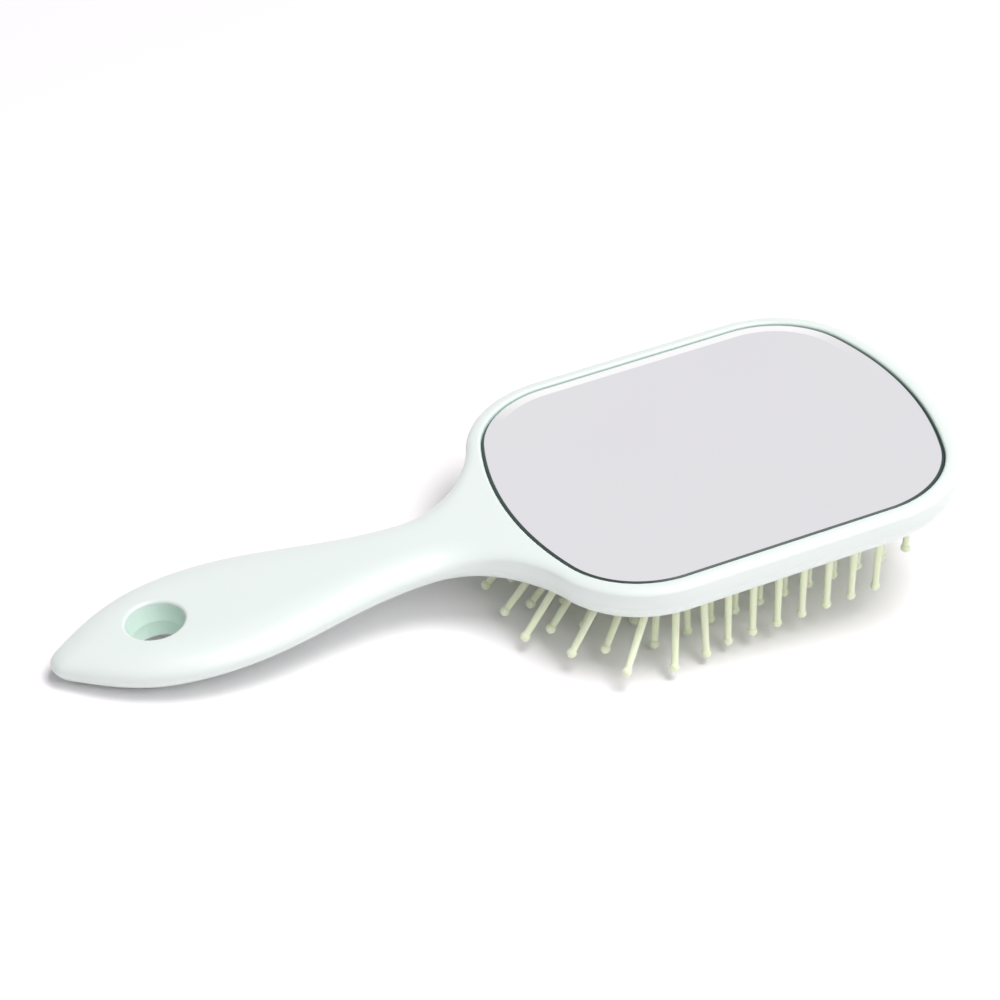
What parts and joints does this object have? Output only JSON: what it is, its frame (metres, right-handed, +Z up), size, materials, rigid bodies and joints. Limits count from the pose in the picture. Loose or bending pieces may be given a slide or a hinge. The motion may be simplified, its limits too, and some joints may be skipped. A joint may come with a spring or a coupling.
{
  "type": "paddle hair brush with mirror",
  "caption": "Paddle hair brush with a flat mirror set in its back, a waisted handle with a hang hole, and rows of ball-ended pins that sink into a soft air cushion.",
  "frame": {"origin": "middle of the bounding box on the surface that the brush lies on", "axes": "+X from the handle to the tip of the head, +Z up out of the mirror's side, +Y to the left"},
  "size_m": [0.2292, 0.098, 0.0409],
  "materials": {
    "body_plastic": "gloss",
    "mirror_glass": "silvered",
    "foam_tape": "soft foam",
    "cushion_rubber": "matt",
    "pin_nylon": "satin"
  },
  "bodies": {
    "brush_body": {"back_shell": "body_plastic", "front_shell": "body_plastic", "mirror": "mirror_glass", "mirror_tape": "foam_tape", "cushion": "cushion_rubber"},
    "pin_row_01": {"pin_row_01": "pin_nylon"},
    "pin_row_02": {"pin_row_02": "pin_nylon"},
    "pin_row_03": {"pin_row_03": "pin_nylon"},
    "pin_row_04": {"pin_row_04": "pin_nylon"},
    "pin_row_05": {"pin_row_05": "pin_nylon"},
    "pin_row_06": {"pin_row_06": "pin_nylon"},
    "pin_row_07": {"pin_row_07": "pin_nylon"},
    "pin_row_08": {"pin_row_08": "pin_nylon"},
    "pin_row_09": {"pin_row_09": "pin_nylon"},
    "pin_row_10": {"pin_row_10": "pin_nylon"},
    "pin_row_11": {"pin_row_11": "pin_nylon"},
    "pin_row_12": {"pin_row_12": "pin_nylon"},
    "pin_row_13": {"pin_row_13": "pin_nylon"},
    "pin_row_14": {"pin_row_14": "pin_nylon"},
    "pin_row_15": {"pin_row_15": "pin_nylon"}
  },
  "joints": [
    {"name": "pin_row_01_sink", "type": "slide", "parent": "brush_body", "child": "pin_row_01", "axis": [0.6667, 0, 0.7453], "range_m": [0, 0.0015], "stiffness_N_per_m": 100, "deforming": ["cushion"]},
    {"name": "pin_row_02_sink", "type": "slide", "parent": "brush_body", "child": "pin_row_02", "axis": [0.6667, 0, 0.7453], "range_m": [0, 0.0015], "stiffness_N_per_m": 100, "deforming": ["cushion"]},
    {"name": "pin_row_03_sink", "type": "slide", "parent": "brush_body", "child": "pin_row_03", "axis": [0.5555, 0, 0.8315], "range_m": [0, 0.0015], "stiffness_N_per_m": 100, "deforming": ["cushion"]},
    {"name": "pin_row_04_sink", "type": "slide", "parent": "brush_body", "child": "pin_row_04", "axis": [0.1763, 0, 0.9843], "range_m": [0, 0.0015], "stiffness_N_per_m": 100, "deforming": ["cushion"]},
    {"name": "pin_row_05_sink", "type": "slide", "parent": "brush_body", "child": "pin_row_05", "axis": [-0.0143, 0, 0.9999], "range_m": [0, 0.0015], "stiffness_N_per_m": 100, "deforming": ["cushion"]},
    {"name": "pin_row_06_sink", "type": "slide", "parent": "brush_body", "child": "pin_row_06", "axis": [-0.0271, 0, 0.9996], "range_m": [0, 0.0015], "stiffness_N_per_m": 100, "deforming": ["cushion"]},
    {"name": "pin_row_07_sink", "type": "slide", "parent": "brush_body", "child": "pin_row_07", "axis": [-0.0271, 0, 0.9996], "range_m": [0, 0.0015], "stiffness_N_per_m": 100, "deforming": ["cushion"]},
    {"name": "pin_row_08_sink", "type": "slide", "parent": "brush_body", "child": "pin_row_08", "axis": [-0.0271, 0, 0.9996], "range_m": [0, 0.0015], "stiffness_N_per_m": 100, "deforming": ["cushion"]},
    {"name": "pin_row_09_sink", "type": "slide", "parent": "brush_body", "child": "pin_row_09", "axis": [-0.0271, 0, 0.9996], "range_m": [0, 0.0015], "stiffness_N_per_m": 100, "deforming": ["cushion"]},
    {"name": "pin_row_10_sink", "type": "slide", "parent": "brush_body", "child": "pin_row_10", "axis": [-0.0271, 0, 0.9996], "range_m": [0, 0.0015], "stiffness_N_per_m": 100, "deforming": ["cushion"]},
    {"name": "pin_row_11_sink", "type": "slide", "parent": "brush_body", "child": "pin_row_11", "axis": [-0.0271, 0, 0.9996], "range_m": [0, 0.0015], "stiffness_N_per_m": 100, "deforming": ["cushion"]},
    {"name": "pin_row_12_sink", "type": "slide", "parent": "brush_body", "child": "pin_row_12", "axis": [-0.0271, 0, 0.9996], "range_m": [0, 0.0015], "stiffness_N_per_m": 100, "deforming": ["cushion"]},
    {"name": "pin_row_13_sink", "type": "slide", "parent": "brush_body", "child": "pin_row_13", "axis": [-0.0271, 0, 0.9996], "range_m": [0, 0.0015], "stiffness_N_per_m": 100, "deforming": ["cushion"]},
    {"name": "pin_row_14_sink", "type": "slide", "parent": "brush_body", "child": "pin_row_14", "axis": [-0.0271, 0, 0.9996], "range_m": [0, 0.0015], "stiffness_N_per_m": 100, "deforming": ["cushion"]},
    {"name": "pin_row_15_sink", "type": "slide", "parent": "brush_body", "child": "pin_row_15", "axis": [-0.0271, 0, 0.9996], "range_m": [0, 0.0015], "stiffness_N_per_m": 100, "deforming": ["cushion"]}
  ]
}
